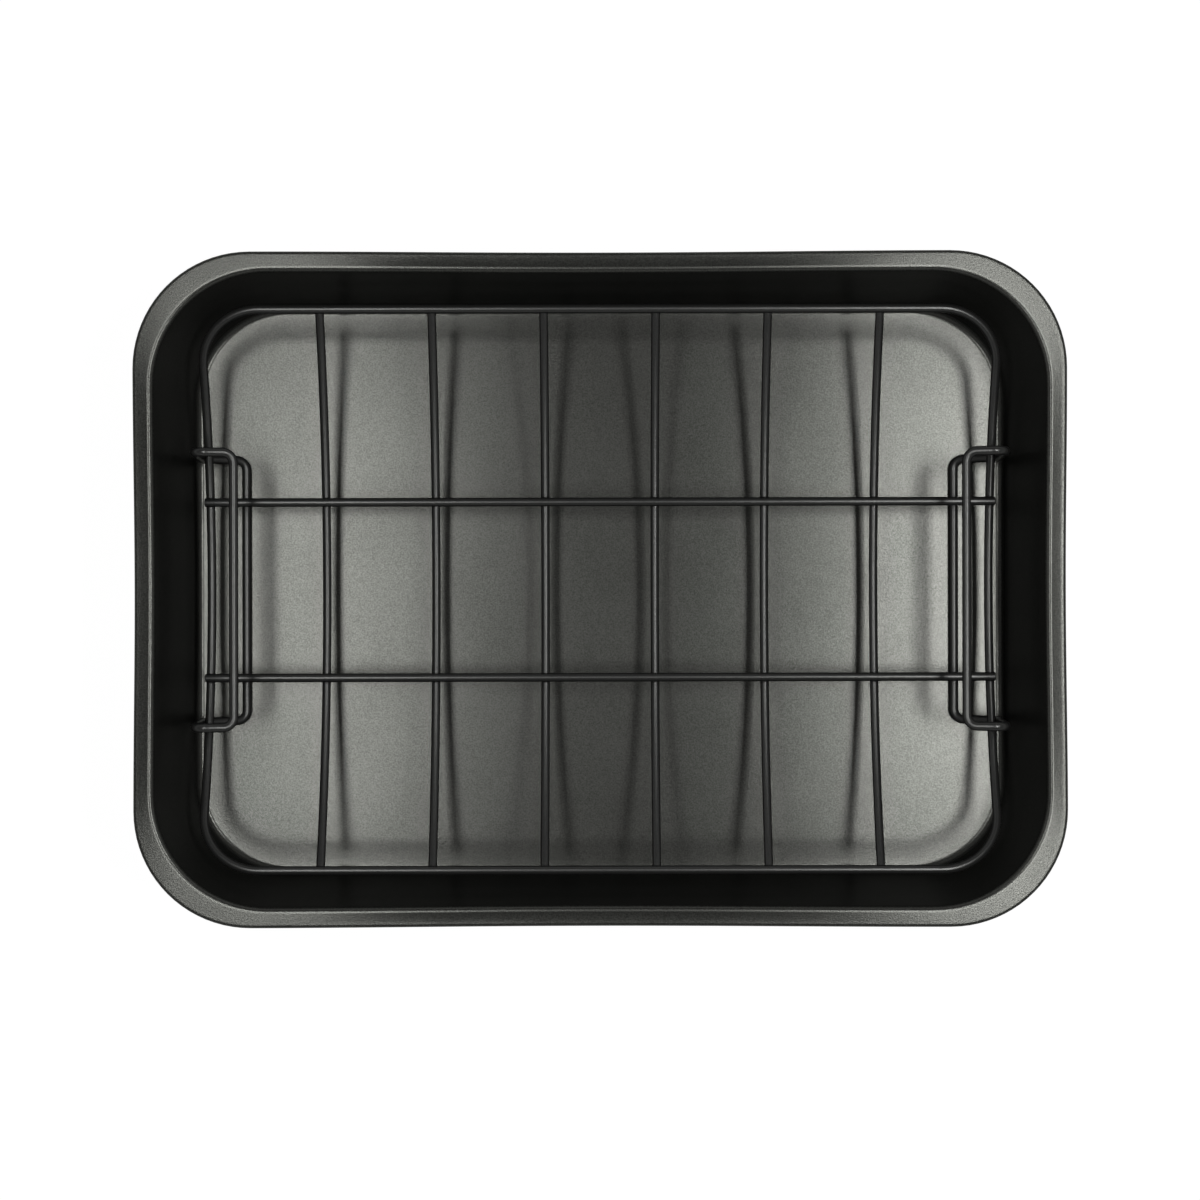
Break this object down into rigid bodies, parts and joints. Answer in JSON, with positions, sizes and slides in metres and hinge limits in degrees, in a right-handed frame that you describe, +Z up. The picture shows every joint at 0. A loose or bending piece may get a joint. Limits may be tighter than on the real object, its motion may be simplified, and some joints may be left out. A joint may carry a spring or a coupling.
{
  "type": "roasting pan",
  "caption": "Rectangular coated roasting pan with sloping walls and a flat rolled rim, holding a cradle-shaped wire rack that lifts out by loop handles.",
  "frame": {"origin": "centre of the underside of the pan", "axes": "+X along the length to the right, +Y along the width to the back, +Z up out of the pan"},
  "size_m": [0.42, 0.304, 0.07],
  "materials": {
    "pan_coating": "dark grey satin non-stick coating on steel sheet",
    "wire_coating": "dark grey satin non-stick coating on steel wire"
  },
  "bodies": {
    "pan": {"pan": "pan_coating"},
    "rack": {"rack_frame": "wire_coating", "cross_wire_1": "wire_coating", "cross_wire_2": "wire_coating", "cross_wire_3": "wire_coating", "cross_wire_4": "wire_coating", "cross_wire_5": "wire_coating", "cross_wire_6": "wire_coating", "rail_front": "wire_coating", "rail_back": "wire_coating", "handle_left": "wire_coating", "handle_right": "wire_coating"}
  },
  "joints": [
    {"name": "rack_lift", "type": "slide", "parent": "pan", "child": "rack", "axis": [0, 0, 1], "range_m": [0, 0.12]}
  ]
}
